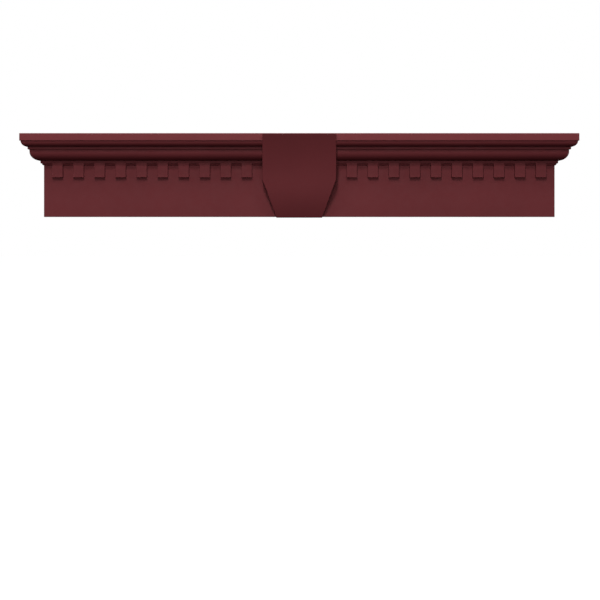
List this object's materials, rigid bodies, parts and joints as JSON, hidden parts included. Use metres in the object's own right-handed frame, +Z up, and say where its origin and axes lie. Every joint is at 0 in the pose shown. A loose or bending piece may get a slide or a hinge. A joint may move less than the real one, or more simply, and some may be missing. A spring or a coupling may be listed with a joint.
{
  "type": "window header",
  "caption": "Moulded window header: a mitred cornice of ovolos over a dentil course and plain frieze, with a tapered keystone at its centre and an open back.",
  "frame": {"origin": "middle of the back plane, on the back edge of the middle web, at half of the header's height", "axes": "+X along the header to the right seen from the front, +Y into the wall, +Z up"},
  "size_m": [1.496, 0.1114, 0.2303],
  "materials": {
    "copolymer": "dark wine-red plastic coloured all through, with a satin sheen and a very fine mould texture"
  },
  "bodies": {
    "root": {"header": "copolymer", "keystone": "copolymer"}
  },
  "joints": []
}
